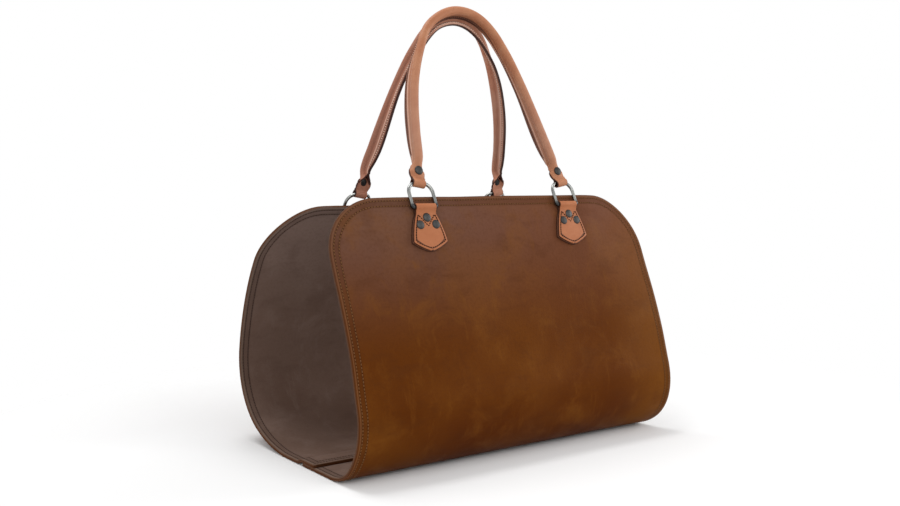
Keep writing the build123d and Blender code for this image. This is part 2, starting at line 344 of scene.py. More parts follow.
def sheet_point(name, x, along, depth):
    """The point that far across and along a sheet, at a depth inside its outer face, and the
    direction straight out of that face."""
    (y, z), heading = COURSES[name].at(along)
    out = np.array([0, SIDES[name] * math.sin(heading), -SIDES[name] * math.cos(heading)])
    return np.array([x, y, z]) + out * (bulge(name, x, along) - depth), out


# %% The outline of a sheet's cut, with its two rounded corners


def half_width(name, side, along, inset):
    corner, half = CORNERS[name][side] - inset, HALF_LENGTH - inset
    past = along - (COURSES[name].length - inset - corner)
    return half if past <= 0 else half - corner + math.sqrt(max(corner**2 - past**2, 0))


def outline(name, inset, step):
    """Points across and along, evenly spaced round the cut, at a distance inside its edge."""
    total, half = COURSES[name].length - inset, HALF_LENGTH - inset
    path = [(x, inset) for x in np.linspace(-half, half, 200)]
    for side in (1, -1):
        corner = CORNERS[name][side] - inset
        up = [(side * half, along) for along in np.linspace(inset, total - corner, 200)[1:]]
        for turn in np.linspace(0, math.pi / 2, 90)[1:]:
            across = half - corner + corner * math.cos(turn)
            up.append((side * across, total - corner + corner * math.sin(turn)))
        path += up[::side]
    path = np.array(path)
    gone = np.concatenate([[0], np.cumsum(np.linalg.norm(np.diff(path, axis=0), axis=1))])
    marks = np.linspace(0, gone[-1], int(gone[-1] / step) + 1)[:-1]
    return np.stack([np.interp(marks, gone, path[:, k]) for k in (0, 1)], -1)


# %% [markdown]
# ## Colours and surfaces
#
# Oiled leather is never one colour: the oil moves when it is bent, so soft clouds of lighter and
# darker brown lie over a fine grain, and rubbing darkens the cut edges. The tabs and handles are
# dyed tan and smoother. Most of each finish is worked out on the cut's own measures. Some tones are
# painted light and shade: those that follow the height and the side of the carrier, the handles'
# crease and flange tones, the shadow in the tabs' dark rims and the dark ends of the rings' bars.

# %% The parts that materials share


def material(name):
    made = bpy.data.materials.new(name)
    made.use_nodes = True
    made.node_tree.nodes.clear()
    return made, Tree(made.node_tree)


def finish_material(tree, colour, relief, bump, depth, roughness, specular=0.5, metallic=0.0):
    """Relief is the bump's height, bump its strength and depth its distance."""
    normal = tree.add("ShaderNodeBump", {}, {"Height": relief, "Strength": bump, "Distance": depth})
    shader = tree.add("ShaderNodeBsdfPrincipled", {}, {
        "Base Color": colour, "Normal": normal, "Roughness": roughness,
        "Specular IOR Level": specular, "Metallic": metallic,
    })
    tree.add("ShaderNodeOutputMaterial", {}, {"Surface": shader})


def noise(tree, place_on, scale, detail=2.0, roughness=0.5, distortion=0.0):
    return tree.add("ShaderNodeTexNoise", {}, {
        "Vector": place_on, "Scale": scale, "Detail": detail, "Roughness": roughness, "Distortion": distortion,
    })


def grain(tree, cut, scale, softness):
    sockets = {"Vector": cut, "Scale": scale, "Smoothness": softness}
    return tree.add("ShaderNodeTexVoronoi", {"feature": "SMOOTH_F1"}, sockets)


def stretched(tree, cut, scale, turn=0.0, shift=(0, 0, 0)):
    sockets = {"Vector": cut, "Scale": scale, "Rotation": (0, 0, turn), "Location": shift}
    return tree.add("ShaderNodeMapping", {}, sockets)


def attribute(tree, name):
    return tree.add("ShaderNodeAttribute", {"attribute_name": name}, output=2)


def object_place(tree):
    return tree.add("ShaderNodeTexCoord", {}, output=3)


def across_and_height(tree):
    spot = object_place(tree)
    return (tree.add("ShaderNodeSeparateXYZ", {}, {0: spot}, output=k) for k in (0, 2))


# %% The oiled leather of the sheets, outside and inside


def sheet_leather(name, deep, warm, rubbed_and_lit, dark, high, burnish, edge, groove, rough, seams):
    """deep, warm, rubbed and dark are the clouds and marks, and deep low down below warm paints each
    sheet darker towards the bottom as shade. rubbed also paints light on the right end, high is the
    painted sheen near the top at the left and at the right, burnish the line along the border, edge
    the cut edge and groove the holes along a seam."""
    made, tree = material(name)
    cut, border = tree.add("ShaderNodeUVMap", {"uv_map": "cut"}), attribute(tree, "border")
    across, height = across_and_height(tree)
    clouds, patches = noise(tree, cut, 5.5, 3.0, 0.55, 0.6), noise(tree, cut, 19.0, 5.0, 0.62, 0.5)
    marks = noise(tree, stretched(tree, cut, (0.55, 1.0, 1.0), shift=(3.1, 1.7, 0)), 34.0, 4.0, 0.6, 0.3)
    streaks = noise(tree, stretched(tree, cut, (1.0, 0.25, 1.0), turn=0.5), 60.0, 4.0, 0.7)
    specks = noise(tree, cut, 240.0, 3.0, 0.6)
    holes = border.near(SEAMS[0], 0.0012) + border.near(SEAMS[1], 0.0012)
    colour = tree.coats(
        # Painted shade: the blend from deep to warm by height makes each sheet darker towards the bottom.
        tree.blend(clouds.between(0.35, 0.68) * 0.4 + height.between(0.03, 0.14) * 0.6, deep, warm),
        # Painted light: the right end of each sheet is lighter, in the rubbed tone.
        (across.between(0.14, 0.25) * 0.55, rubbed_and_lit),
        # Painted sheen: the upper part of each sheet takes the high tones, a greyer sheen outside and a lighter top on
        # the lining, which lies in shade lower down.
        (height.between(0.15, 0.37) * 0.95, tree.blend(across.between(-0.20, 0.16), *high)),
        (clouds.between(0.42, 0.66) * 0.22, rubbed_and_lit),
        (patches.between(0.48, 0.72) * 0.36, rubbed_and_lit),
        (marks.between(0.48, 0.72) * 0.27, dark),
        (streaks.between(0.54, 0.75) * 0.26, rubbed_and_lit),
        (specks.between(0.42, 0.72) * 0.18, dark),
        (border.between(0.0125, 0.0150, 0.30, 0.0), dark),
        (holes * seams, groove),
        (border.near(0.0024, 0.0015) * 0.55, burnish),
        (attribute(tree, "rim").between(0.2, 0.8) * 0.85, edge),
    )
    relief = grain(tree, cut, 620.0, 0.6) * 0.35 + specks * 0.6 + patches * 0.5 - holes * 1.6
    finish_material(tree, colour, relief, 0.40, 0.0006, patches.between(0.3, 0.7, rough + 0.06, rough - 0.06), 0.03)
    return made


# The high pairs are the painted sheen near the tops, and the rubbed tone also paints light on the right end.
outside = sheet_leather(
    "oiled_brown", "502404", "623307", "7a4916", "4a260e",
    ("6f5044", "704633"), "80583c", "5a3722", "2c1507", 0.50, 0.70,
)
inside = sheet_leather(
    "lining_brown", "665045", "786257", "877268", "57443b",
    ("806c64", "806c64"), "8c7868", "6a4a36", "43332a", 0.66, 0.60,
)

# %% Tan leather


def tan_leather(name, main, shade, light, edge, flesh_and_shade, flange=None, sides=0.0, crown=""):
    """edge is the cut edge, on the tabs darkened further as painted shadow under their edges, and flesh
    the unfinished side. flesh also paints shade on the outer part of a handle's flange. On a handle,
    flange is the share of that painted shade, sides how much painted shade darkens the left leg, and
    crown the colour painted on the flange at the top of the arch: shade on the front handle and light
    on the back one."""
    made, tree = material(name)
    cut = tree.add("ShaderNodeUVMap", {"uv_map": "cut"})
    clouds, specks = noise(tree, cut, 38.0, 4.0, 0.6, 0.3), noise(tree, cut, 420.0, 3.0, 0.6)
    colour = tree.blend(clouds.between(0.35, 0.7) * 0.7, main, light)
    colour = tree.blend(specks.between(0.5, 0.8) * 0.25, colour, shade)
    if flange is not None:
        beyond = attribute(tree, "beyond")
        across, height = across_and_height(tree)
        arch = height.between(0.555, 0.590)
        colour = tree.coats(
            colour,
            # Painted highlight: a pale pinkish band part-way up the legs.
            (height.between(0.37, 0.42) * height.between(0.42, 0.56, 0.36, 0.0), "b48d7d"),
            # Painted shade: the left leg is darker, by the sides share.
            (across.between(-0.09, 0.03, sides, 0.0), shade),
            # Painted shade: a shadow along the crease where the roll turns into the flange.
            (beyond.near(0.0, 0.0045) * 0.30, shade),
            # Painted highlight: a pale line along the flange next to the roll, fading out at the top of the arch.
            (beyond.near(0.0062, 0.0020) * (0.75 - arch * 0.75), "e3b8a4"),
            # Painted shade: the outer part of the flange is darker, in the flesh tone.
            (beyond.between(0.0074, 0.0090) * flange, flesh_and_shade),
            # Painted at the top of the arch: the flange next to the roll takes the crown colour, shade on the front
            # handle and light on the back one.
            (beyond.between(0.0, 0.0030) * arch * 0.95, crown),
        )
    colour = tree.coats(
        colour,
        (attribute(tree, "border").near(SEAM_INSET, 0.0010) * 0.85, edge),
        (attribute(tree, "face").between(0.2, 0.8) * 0.9, flesh_and_shade),
        # The rim takes the edge tone. On the tabs that tone is darker than the cut edge alone, as painted shadow under
        # their edges.
        (attribute(tree, "rim").between(0.02, 0.40) * 0.9, edge),
    )
    relief = grain(tree, cut, 900.0, 0.7) * 0.4 + specks * 0.5 + clouds * 0.3
    finish_material(tree, colour, relief, 0.25, 0.0004, clouds.between(0.3, 0.7, 0.50, 0.40), 0.14)
    return made


# The tabs' edge tone is the dark cut edge together with painted shadow under the tabs' edges.
tan = tan_leather("tan_leather", "ad6a45", "935435", "b97650", "2f180f", "6b4433")
# Both handles are one tan leather. The back one's lighter main tone is painted light, and the flange, left-leg and
# crown numbers of each are painted light and shade.
handle_tan = {
    "front": tan_leather(
        "front_handle_leather", "b07353", "96593d", "c08866", "42261f", "4c2f2a", 0.70, 0.0, "30170f",
    ),
    "back": tan_leather(
        "back_handle_leather", "bd7f64", "86503e", "ca9880", "38201c", "4c2f2a", 0.12, 0.55, "dcae99",
    ),
}

# %% Thread, metal and cord


def thread(name, main, light):
    made, tree = material(name)
    fibres = noise(tree, object_place(tree), 2600.0)
    finish_material(tree, tree.blend(fibres.between(0.35, 0.65), main, light), fibres, 0.3, 0.0002, 0.7, 0.10)
    return made


def metal(name, main, worn, rough, knob):
    """knob is the tone at the corners of a ring: a painted dark reflection at the ends of the bar."""
    made, tree = material(name)
    spot = object_place(tree)
    smudges, scratches = noise(tree, spot, 35.0), noise(tree, spot, 1500.0, 3.0, 0.7)
    colour = tree.blend(smudges.between(0.4, 0.7) * 0.6, main, worn)
    # Painted reflection: the ends of a ring's bar are darker, in the knob tone.
    colour = tree.blend(attribute(tree, "corner") * 0.9, colour, knob)
    roughness = smudges.between(0.3, 0.7, rough - 0.05, rough + 0.08)
    finish_material(tree, colour, scratches, 0.04, 0.0002, roughness, metallic=1.0)
    return made


def cord_fibre(name, main, light):
    made, tree = material(name)
    sockets = {"Vector": object_place(tree), "Scale": 120.0, "Distortion": 1.5, "Detail": 2.0}
    waves = tree.add("ShaderNodeTexWave", {"bands_direction": "DIAGONAL"}, sockets)
    finish_material(tree, tree.blend(waves, main, light), waves, 0.6, 0.0006, 0.85)
    return made


sheet_thread = thread("brown_thread", "684528", "7f5835")
lining_thread = thread("dark_brown_thread", "3b2b24", "54413a")
tab_thread = thread("dark_thread", "24110b", "3a1e13")
# Both handles are sewn with one thread; the front one's darker copy is painted shade.
handle_thread = {"front": thread("shaded_handle_thread", "6e4436", "94644f"), "back": thread("pale_thread", "dcbca8", "f0d8c6")}
nickel = metal("bright_nickel", "949591", "66686a", 0.16, "232427")
gunmetal = metal("gunmetal", "403f3e", "282625", 0.42, "282625")
cord_finish = cord_fibre("cotton_cord", "c9bba2", "e4d9c4")
print("materials:", len(bpy.data.materials))

# %% [markdown]
# ## The two sheets
#
# Each sheet is two layers of leather, glued and sewn: the thick shell outside and the thinner
# lining inside. They are separate pieces, so that the cut edge shows the line between them. The
# rows of the grid are closest in the rounded corners, where the outline turns fastest.

# %% Rows of a sheet and its two layers
SHEET_RIM, SHEET_ROW, SHEET_COLUMNS = 0.0009, 0.0048, 105


def sheet_layer(name, near, far):
    """One layer of a sheet between two depths, as a grid that is inset by the width of its rim."""
    length, corner = COURSES[name].length, max(CORNERS[name].values()) - SHEET_RIM
    low, high = SHEET_RIM, length - SHEET_RIM - corner
    rows = list(np.linspace(low, high, int((high - low) / SHEET_ROW)))
    rows += [high + corner * math.sin(t) for t in np.linspace(0, math.pi / 2, 27)[1:]]
    grid, cut, border = (np.zeros((len(rows), SHEET_COLUMNS, k)) for k in (3, 2, 1))
    for i, along in enumerate(rows):
        left, right = (half_width(name, side, along, SHEET_RIM) for side in (-1, 1))
        for j, share in enumerate(np.linspace(1, -1, SHEET_COLUMNS) * -SIDES[name]):
            x = share * (right if share > 0 else left)
            grid[i, j] = sheet_point(name, x, along, (near + far) / 2)[0]
            cut[i, j] = x, along
            radius = CORNERS[name][1 if x > 0 else -1]
            over, past = abs(x) - (HALF_LENGTH - radius), along - (length - radius)
            inner = radius - math.hypot(over, past) if over > 0 and past > 0 else 1.0
            border[i, j] = min(HALF_LENGTH - abs(x), along, length - along, inner)
    return leather_mesh(f"{name}_{near:.4f}", grid, cut, far - near, SHEET_RIM, {"border": border[..., 0]})


panels = {}
for name in COURSES:
    layers = (
        ("shell", 0.0, SHELL, outside, "sheet_leather"),
        ("lining", SHELL, SHEET, inside, "lining_leather"),
    )
    for layer, near, far, finish, slot in layers:
        mesh = sheet_layer(name, near, far)
        nodes = [f"{name}_panel_{layer}"]
        panels[name, layer] = place(mesh, f"{name}_{layer}_leather", "sheets", slot, nodes, finish)

# %% Each sheet's cut area and the layer it lies on, worked out but not kept
for (name, layer), piece in panels.items():
    length = COURSES[name].length
    corners = sum(r * r for r in CORNERS[name].values()) * (1 - math.pi / 4)
    lies_on = ["front_lining_leather"] if name == "back" else []
    2 * HALF_LENGTH * length - corners

# %% [markdown]
# ## Stitches
#
# A seam is one small thing repeated along a path, which is what Geometry Nodes are for. The tree
# divides the path by the pitch and sets one short thread on each point, laid along the path and
# square to the leather, whose own direction travels with the path as an attribute.

# %% The start and the end of a tree of Geometry Nodes


def new_tree(name, inputs):
    tree = bpy.data.node_groups.new(name, "GeometryNodeTree")
    for label, kind in [("Geometry", "Geometry"), *inputs]:
        tree.interface.new_socket(label, in_out="INPUT", socket_type=f"NodeSocket{kind}")
    tree.interface.new_socket("Geometry", in_out="OUTPUT", socket_type="NodeSocketGeometry")
    built = Tree(tree)
    entry = tree.nodes.new("NodeGroupInput")
    return built, {socket.name: Wire(built, socket) for socket in entry.outputs if socket.name}


def set_on_points(built, points, shape, rotation, scale, finish):
    """Close a tree: one shape on each point, as plain smooth geometry with a material."""
    sockets = {"Points": points, "Instance": shape, "Rotation": rotation, "Scale": scale}
    real = built.add("GeometryNodeRealizeInstances", {}, {0: built.add("GeometryNodeInstanceOnPoints", {}, sockets)})
    smooth = built.add("GeometryNodeSetShadeSmooth", {}, {0: real})
    built.add("NodeGroupOutput", {}, {0: built.add("GeometryNodeSetMaterial", {}, {0: smooth, "Material": finish})})
    return built.tree


def facing_out(built, axis, **sockets):
    """A rotation that turns an axis along the direction that the path carries."""
    out = built.add("GeometryNodeInputNamedAttribute", {"data_type": "FLOAT_VECTOR"}, {"Name": "out"})
    settings = {"axis": "Z", "pivot_axis": axis}
    return built.add("FunctionNodeAlignRotationToVector", settings, {"Vector": out, **sockets})


# %% The tree that sews along a path


def sewing_tree():
    sizes = [(label, "Float") for label in ("Pitch", "Stitch Length", "Thread")]
    built, given = new_tree("sewing", [*sizes, ("Seed", "Int"), ("Finish", "Material")])
    curve = built.add("GeometryNodeMeshToCurve", {}, {0: given["Geometry"]})
    even = built.add("GeometryNodeResampleCurve", {"mode": "LENGTH"}, {0: curve, "Length": given["Pitch"]})
    along = built.add("GeometryNodeInputTangent")
    laid = built.add("FunctionNodeAlignRotationToVector", {"axis": "X"}, {"Vector": along})
    laid = facing_out(built, "X", Rotation=laid)
    limits = {2: -0.05, 3: 0.05, "Seed": given["Seed"]}
    jitter = built.add("FunctionNodeRandomValue", {"data_type": "FLOAT"}, limits, output=1)
    twist = built.add("FunctionNodeEulerToRotation", {}, {0: built.add("ShaderNodeCombineXYZ", {}, {2: jitter})})
    laid = built.add("FunctionNodeRotateRotation", {"rotation_space": "LOCAL"}, {0: laid, 1: twist})
    ball = built.add("GeometryNodeMeshUVSphere", {}, {"Segments": 8, "Rings": 5, "Radius": 0.5})
    thick = {0: given["Stitch Length"], 1: given["Thread"], 2: given["Thread"]}
    return set_on_points(built, even, ball, laid, built.add("ShaderNodeCombineXYZ", {}, thick), given["Finish"])


SEWING = sewing_tree()

# %% Running a tree on a path or on points, and keeping the plain mesh


def grow(name, tree, points, outs, edges, inputs):
    """Run a tree on points that carry their outward direction, and return the plain mesh."""
    mesh = bpy.data.meshes.new(name + "_path")
    mesh.from_pydata([tuple(p) for p in points], edges, [])
    store(mesh, "out", outs, "FLOAT_VECTOR", "vector")
    maker = bpy.data.objects.new(name + "_maker", mesh)
    bpy.context.scene.collection.objects.link(maker)
    modifier = maker.modifiers.new(tree.name, "NODES")
    modifier.node_group = tree
    for item in tree.interface.items_tree:
        if item.in_out == "INPUT" and item.name in inputs:
            modifier[item.identifier] = inputs[item.name]
    graph = bpy.context.evaluated_depsgraph_get()
    grown = maker.evaluated_get(graph)
    made = bpy.data.meshes.new_from_object(grown, preserve_all_data_layers=True, depsgraph=graph)
    made.name = name
    bpy.data.objects.remove(maker)
    return made


def sew(name, paths, body, slot, finish, pitch, length, width):
    """Paths are lists of points and outward directions, with a flag that says whether they close."""
    points, outs, edges = [], [], []
    for path, out, closes in paths:
        first = len(points)
        points += list(path)
        outs += list(out)
        edges += [(first + k, first + k + 1) for k in range(len(path) - 1)]
        if closes:
            edges.append((first + len(path) - 1, first))
    made = grow(name, SEWING, points, outs, edges, {
        "Pitch": pitch, "Stitch Length": length, "Thread": width, "Seed": 7, "Finish": finish,
    })
    return place(made, name, body, slot, [], finish)


# %% The two seams round each sheet, on both of its faces
UNDER_LAP, PATH_STEP = 0.034, 0.0015
SUNK, ON_GROUND = 0.0005, (0.07, 0.11)
faces = (
    ("outside", 1, 0.0, sheet_thread, "sheet_leather"),
    ("inside", -1, SHEET, lining_thread, "lining_leather"),
)
for name in COURSES:
    for face, way, depth, finish, slot in faces:
        covered = (name, face) in (("front", "inside"), ("back", "outside"))
        paths = []
        for inset in SEAMS:
            run, outs = [], []
            for x, along in outline(name, inset, PATH_STEP):
                if not covered or along >= UNDER_LAP:
                    sunk = SUNK * (1 - ease(along, *ON_GROUND)) if face == "outside" else 0.0
                    point, out = sheet_point(name, x, along, depth + sunk)
                    run.append(point)
                    outs.append(out * way)
            paths.append((run, outs, not covered))
        sew(f"{name}_{face}_seams", paths, "sheets", slot, finish, *SHEET_STITCH)

# %% [markdown]
# ## Planes that carry the fittings
#
# The tabs lie on the straight top of each wall, the rings turn about the bar under each tab, and
# a handle turns about the bows of its two rings. The joints of the frame say where.

# %% Seats, each with its up and outward directions


class Seat:
    """A place with an up direction and an outward direction; X always runs along the carrier."""

    def __init__(self, origin, up, side):
        self.origin, self.up = np.array(origin), np.array(up)
        self.out = np.array([0, side * up[2], -side * up[1]])

    def point(self, x, up, out):
        x, up, out = (np.asarray(value, float)[..., None] for value in (x, up, out))
        return self.origin + x * (1, 0, 0) + self.up * up + self.out * out


HANDLE_UP = {"front": (0, 0.297375, 0.954761), "back": (0, -0.183329, 0.983052)}
pivots = {joint["child"]: np.array(joint["pos_m"], float) for joint in frame["joints"]}
TOPS, RINGS, HANDLES = {}, {}, {}
for name, side in SIDES.items():
    (y, z), heading = COURSES[name].at(COURSES[name].length)
    ring, handle = pivots[f"{name}_rings"], pivots[f"{name}_handle"]
    TOPS[name] = Seat((0, y, z), (0, math.cos(heading), math.sin(heading)), side)
    RINGS[name] = Seat(ring, unit(handle - ring), side)
    HANDLES[name] = Seat(handle, HANDLE_UP[name], side)

# %% [markdown]
# ## The tabs
#
# A tab is one strap, folded over the bar of its ring and cut to a shield. Its inner leaf is cut a
# millimetre larger, so that its dark rim shows as a ledge: painted shadow under the tab's edge. The
# grid runs from the tip of the inner leaf up, over the bar and down to the tip of the outer leaf,
# and its width is the shield's at each height.

# %% The strap's course and its width
TAB_DROP, TAB_HEIGHT, STRAP_RIM, TAB_COLUMNS = 0.0105, 0.062, 0.0008, 25
# LEDGE is how much larger the inner leaf is cut: its dark rim shows as painted shadow under the tab's edge.
OVER_BAR, SETTLE, FOLD_BELOW, LEDGE = 0.0035, 0.0120, 0.0046, 0.0012
NECK, SHOULDER, TIP = (0.01575, -0.0135), (0.0260, -0.0505), (0.0, -TAB_HEIGHT)
fold = math.degrees(math.acos(1 - (2 * OVER_BAR + STRAP - LEAVES) / (OVER_BAR + SETTLE)))
TAB = Course(
    (STRAP / 2, -TAB_HEIGHT), 90,
    (TAB_HEIGHT - FOLD_BELOW,), (OVER_BAR, -(180 + fold)), (SETTLE, fold), (TAB_HEIGHT,),
)


def bowed(start, end, swell, shares):
    """Points on a shallow arc between two corners of an outline."""
    start, chord, shares = np.array(start), np.array(end) - start, shares[:, None]
    side = np.array([-chord[1], chord[0]]) / np.linalg.norm(chord)
    return start + chord * shares + side * (swell * 4 * shares * (1 - shares))


def shield_widths(up, inset):
    """Half widths of the shield at a height, a distance inside its side and inside its foot."""
    side = bowed(NECK, SHOULDER, 0.0012, np.linspace(-0.1, 1.1, 25))
    foot = bowed(SHOULDER, TIP, 0.0016, np.linspace(-0.2, 1.1, 27))
    widths = []
    for line in (side, foot):
        ahead = unit(np.gradient(line, axis=0))
        line = line + inset * np.stack([ahead[:, 1], -ahead[:, 0]], -1)
        widths.append(float(np.interp(-up, -line[:, 1], line[:, 0])))
    return widths


def tab_width(up, inset):
    return NECK[0] - inset if up > NECK[1] else min(shield_widths(up, inset))


LEVELS = -np.concatenate([
    np.linspace(0.007, 0.0135, 6), np.linspace(0.0150, 0.0490, 20), np.linspace(0.0500, 0.0608, 14),
])


def tab_mesh(name, x):
    total = sum(TAB.lengths[:3])
    end_height = TAB.at(total)[0][1]
    rows = [0.0001, 0.0007, *(TAB_HEIGHT + LEVELS[::-1]), *np.linspace(TAB_HEIGHT - FOLD_BELOW, total, 34)]
    rows += [total + end_height - level for level in LEVELS if level < end_height - 0.001]
    shares = np.linspace(1, -1, TAB_COLUMNS) * -SIDES[name]
    grid, cut, border = [], [], []
    for along in rows:
        (out, up), _ = TAB.at(along)
        ledge = LEDGE * ease(-up, 0.014, 0.022) if along < TAB_HEIGHT - FOLD_BELOW else 0.0
        here = shares * max(tab_width(up, STRAP_RIM - ledge), 0.0003)
        crown = 0.0004 * (1 - shares**4) * ease(-up, 0.010, 0.030) if along > total else 0.0
        grid.append(TOPS[name].point(x + here, up - TAB_DROP, out + crown))
        cut.append(np.stack([here + x, np.full(TAB_COLUMNS, along)], -1))
        side, foot = (width - np.abs(here) for width in shield_widths(up, 0.0))
        border.append(np.minimum(side * 0.96, foot * 0.405) if -up > 0.0155 else np.ones(TAB_COLUMNS))
    return leather_mesh(f"{name}_tab", *map(np.array, (grid, cut)), STRAP, STRAP_RIM, {"border": np.array(border)})


for name in COURSES:
    for hand, x in (("left", -SPACING), ("right", SPACING)):
        nodes = [f"{name}_{hand}_tab"]
        place(tab_mesh(name, x), f"{name}_{hand}_tab_leather", "sheets", "tan_leather", nodes, tan)

# %% The seam round each tab, with its notch under the top rivet
half_seam = [(0.0005, -0.0292), (0.0122, -0.0152)]
half_seam += [(tab_width(up, SEAM_INSET), up) for up in np.linspace(-0.0165, -0.0580, 60)]
TAB_SEAM = np.array(half_seam + [(-across, up) for across, up in half_seam[::-1]])
for name, seat in TOPS.items():
    paths = []
    for x in (-SPACING, SPACING):
        run = seat.point(x + TAB_SEAM[:, 0], TAB_SEAM[:, 1] - TAB_DROP, LEAVES + 0.0004)
        paths.append((run, [seat.out] * len(run), True))
    sew(f"{name}_tab_seams", paths, "sheets", "tan_leather", tab_thread, *TAB_STITCH)

# %% [markdown]
# ## Rivets
#
# All the rivets are alike: a domed cap outside and a flatter one behind. One tree sets a dome on
# each point, pressed to the height it is given, and faces it along the point's own direction.

# %% The tree that sets rivets


def rivet_tree():
    built, given = new_tree("rivets", [("Diameter", "Float"), ("Height", "Float"), ("Finish", "Material")])
    ball = built.add("GeometryNodeMeshUVSphere", {}, {"Segments": 32, "Rings": 16, "Radius": 1.0})
    spot = built.add("GeometryNodeInputPosition")
    x, y, z = (built.add("ShaderNodeSeparateXYZ", {}, {0: spot}, output=k) for k in range(3))
    lift = z.size().math("POWER", 0.72) * z.math("SIGN")
    shape = built.add("ShaderNodeCombineXYZ", {}, {0: x, 1: y, 2: lift})
    dome = built.add("GeometryNodeSetPosition", {}, {"Geometry": ball, "Position": shape})
    radius = given["Diameter"] * 0.5
    size = built.add("ShaderNodeCombineXYZ", {}, {0: radius, 1: radius, 2: given["Height"]})
    return set_on_points(built, given["Geometry"], dome, facing_out(built, "AUTO"), size, given["Finish"])


RIVETS = rivet_tree()

# %% Every rivet, grouped by what it moves with
LEG_LEAN, RIVET_UP = math.radians(10.5), 0.017
WIRE, BAR_BEND, BOW_BEND, BOW_OVERHANG = 0.0023, 0.0028, 0.014, 0.0057
BOW_TUNNEL = WIRE + (BOW_BEND - math.sqrt(BOW_BEND**2 - BOW_OVERHANG**2)) / 2 + 0.00025
TAB_RIVETS = ((0, -0.0186), (-0.012, -0.0279), (0.012, -0.0279))
CAP, BURR = (0.012, 0.0018), (0.010, 0.0012)


def leg_across(up):
    return SPACING - (up - BOW_TUNNEL) * math.tan(LEG_LEAN)


on_tabs = [(x + across, up - TAB_DROP) for x in (-SPACING, SPACING) for across, up in TAB_RIVETS]
on_ends = [(side * leg_across(RIVET_UP), RIVET_UP) for side in (-1, 1)]
for name in COURSES:
    for label, seat, spots, level, way, (diameter, height), body in (
        ("tab_rivet_caps", TOPS[name], on_tabs, LEAVES, 1, CAP, "sheets"),
        ("tab_rivet_backs", TOPS[name], on_tabs, -SHEET, -1, BURR, "sheets"),
        ("handle_rivet_caps", HANDLES[name], on_ends, LEAVES / 2, 1, CAP, f"{name}_handle"),
        ("handle_rivet_backs", HANDLES[name], on_ends, -LEAVES / 2, -1, BURR, f"{name}_handle"),
    ):
        points = [seat.point(x, up, level) for x, up in spots]
        made = grow(f"{name}_{label}_domes", RIVETS, points, [seat.out * way] * len(points), [], {
            "Diameter": diameter, "Height": height, "Finish": gunmetal,
        })
        place(made, f"{name}_{label}_domes", body, "gunmetal", [f"{name}_{label}"], gunmetal)

# %% [markdown]
# ## The D-rings
#
# Each ring is one round wire: a straight bar under the tab, two short legs and a bow, with a small
# knob at each end of the bar. It is swept by hand, as a bevelled curve would pinch in the corners.

# %% Sweep a round wire along a closed flat path
RING_HALF, RING_HEIGHT, RING_AROUND = 0.0183, 0.0335, 20
KNOB, KNOB_AT = 0.0006, (RING_HALF - 0.0006, 0.0010)


def ring_path():
    """The ring's middle line as across and up, once round."""
    inner, bow = RING_HALF - BAR_BEND, (RING_HALF - BOW_BEND, RING_HEIGHT - BOW_BEND)
    path = [(t * inner, 0.0) for t in np.linspace(0, 1, 6)[:-1]]
    for t in np.linspace(0, math.pi / 2, 8):
        path.append((inner + BAR_BEND * math.sin(t), BAR_BEND - BAR_BEND * math.cos(t)))
    path += [(RING_HALF, up) for up in np.linspace(BAR_BEND, bow[1], 7)[1:-1]]
    for t in np.linspace(0, math.pi / 2, 16):
        path.append((bow[0] + BOW_BEND * math.cos(t), bow[1] + BOW_BEND * math.sin(t)))
    path += [(x, RING_HEIGHT) for x in np.linspace(bow[0], 0, 4)[1:]]
    return np.array(path + [(-across, up) for across, up in path[-2:0:-1]])


def ring_mesh(name):
    path = ring_path()
    from_knob = np.hypot(np.abs(path[:, 0]) - KNOB_AT[0], path[:, 1] - KNOB_AT[1])
    knob = 1 - ease(from_knob, 0.0010, 0.0048)
    along = unit(np.roll(path, -1, 0) - np.roll(path, 1, 0))[:, :, None]
    turns = np.arange(RING_AROUND) * 2 * math.pi / RING_AROUND
    side, out = (np.outer(WIRE + KNOB * knob, wave(turns)) for wave in (np.cos, np.sin))
    across, up = path[:, 0, None] + along[:, 1] * side, path[:, 1, None] - along[:, 0] * side
    points = [RINGS[name].point(x + across, up, out).reshape(-1, 3) for x in (-SPACING, SPACING)]
    faces = tube_faces(len(path), RING_AROUND, True)
    faces += [[corner + len(points[0]) for corner in face] for face in faces]
    if name == "back":
        faces = [face[::-1] for face in faces]
    mesh = smooth_mesh(f"{name}_rings", np.concatenate(points).tolist(), faces)
    # corner marks the ends of the bar, where a dark reflection is painted.
    store(mesh, "corner", np.tile(np.repeat(knob, RING_AROUND), 2))
    return mesh


for name in COURSES:
    place(ring_mesh(name), f"{name}_nickel_rings", f"{name}_rings", "nickel", [f"{name}_rings"], nickel)

# %% [markdown]
# ## The handles
#
# A handle is one strip of leather. Its middle is rolled round a cord and sewn, which leaves a
# flange of two leaves facing the other handle. At each end the strip opens flat, narrows to a
# neck, loops under the bow of the ring and comes up behind itself, where one rivet holds it. Each
# row of the grid is the strip's section there: flat at the neck and closed along the roll.

